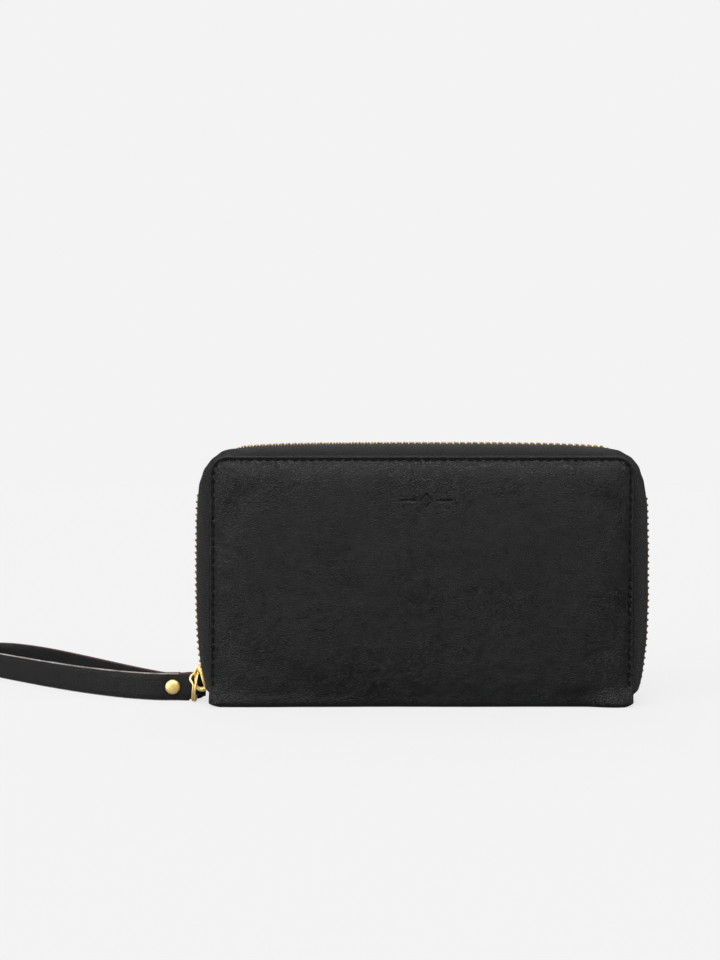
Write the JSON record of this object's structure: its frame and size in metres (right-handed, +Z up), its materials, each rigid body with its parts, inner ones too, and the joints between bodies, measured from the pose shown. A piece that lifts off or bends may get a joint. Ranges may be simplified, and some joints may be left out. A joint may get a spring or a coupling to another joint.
{
  "type": "wristlet wallet",
  "caption": "Zip-around wallet standing on its spine fold, with a zipped coin pocket, card slots and a riveted leather wrist strap on a split ring.",
  "frame": {"origin": "centre of the spine's resting face, on the surface that the wallet stands on", "axes": "+X along the panels' width to the right, the front panel faces -Y, +Z up"},
  "size_m": [0.305, 0.1187, 0.1047],
  "materials": {
    "leather": "matte fine-grained black cowhide",
    "inner_leather": "smooth black leather",
    "strap_leather": "smooth black leather with raw cut edges",
    "board": "pressed fibre board",
    "lining": "woven cotton twill",
    "zip_tape": "woven herringbone tape",
    "zip_metal": "polished brass",
    "coil": "nylon coil",
    "gold": "polished gold plate"
  },
  "bodies": {
    "back": {"back_cover": "leather", "back_board": "board", "back_lining": "lining", "back_card_slot_1": "inner_leather", "back_card_slot_2": "inner_leather", "back_card_slot_3": "inner_leather", "back_card_slot_4": "inner_leather", "back_zip_tape": "zip_tape", "back_zip_teeth": "zip_metal", "back_top_stop": "zip_metal", "bottom_stop": "zip_metal", "spine": "leather", "spine_lining": "lining", "left_gusset": "inner_leather", "right_gusset": "inner_leather"},
    "front": {"front_cover": "leather", "front_board": "board", "front_lining": "lining", "front_card_slot_1": "inner_leather", "front_card_slot_2": "inner_leather", "front_card_slot_3": "inner_leather", "front_card_slot_4": "inner_leather", "front_zip_tape": "zip_tape", "front_zip_teeth": "zip_metal", "front_top_stop": "zip_metal"},
    "coin_pocket": {"coin_front_wall": "inner_leather", "coin_back_wall": "inner_leather", "coin_pocket_seam": "lining", "coin_zip_front_tape": "zip_tape", "coin_zip_back_tape": "zip_tape", "coin_zip_front_coil": "coil", "coin_zip_back_coil": "coil"},
    "coin_slider": {"coin_slider_body": "gold"},
    "coin_pull": {"coin_pull": "gold"},
    "slider": {"zip_slider": "gold"},
    "ring": {"split_ring": "gold"},
    "strap": {"wrist_strap": "strap_leather", "rivet_cap": "gold", "rivet_post": "gold"}
  },
  "joints": [
    {"name": "cover_opening", "type": "hinge", "parent": "back", "child": "front", "pos_m": [0, -0.011, 0.0015], "axis": [1, 0, 0], "range_deg": [0, 70], "deforming": ["left_gusset", "right_gusset"]},
    {"name": "coin_pocket_swing", "type": "hinge", "parent": "back", "child": "coin_pocket", "pos_m": [0, -0.011, 0.0015], "axis": [1, 0, 0], "range_deg": [0, 35]},
    {"name": "coin_zip_travel", "type": "slide", "parent": "coin_pocket", "child": "coin_slider", "axis": [1, 0, 0], "range_m": [0, 0.122]},
    {"name": "coin_pull_swing", "type": "hinge", "parent": "coin_slider", "child": "coin_pull", "pos_m": [-0.062, 0, 0.0839], "axis": [0, -1, 0], "range_deg": [0, 150]},
    {"name": "zip_travel", "type": "hinge", "parent": "back", "child": "slider", "pos_m": [0.2628, 0, 0.057], "axis": [0, 1, 0], "range_deg": [0, 12.1]},
    {"name": "ring_swing", "type": "hinge", "parent": "slider", "child": "ring", "pos_m": [-0.0909, 0, 0.0124], "axis": [0, 1, 0], "range_deg": [0, 90]},
    {"name": "strap_swing", "type": "hinge", "parent": "ring", "child": "strap", "pos_m": [-0.0913, 0.0072, 0.0066], "axis": [0, 0, 1], "range_deg": [-40, 15]}
  ],
  "couplings": [
    {"joint": "coin_pocket_swing", "follows": "cover_opening", "ratio": 0.5}
  ]
}
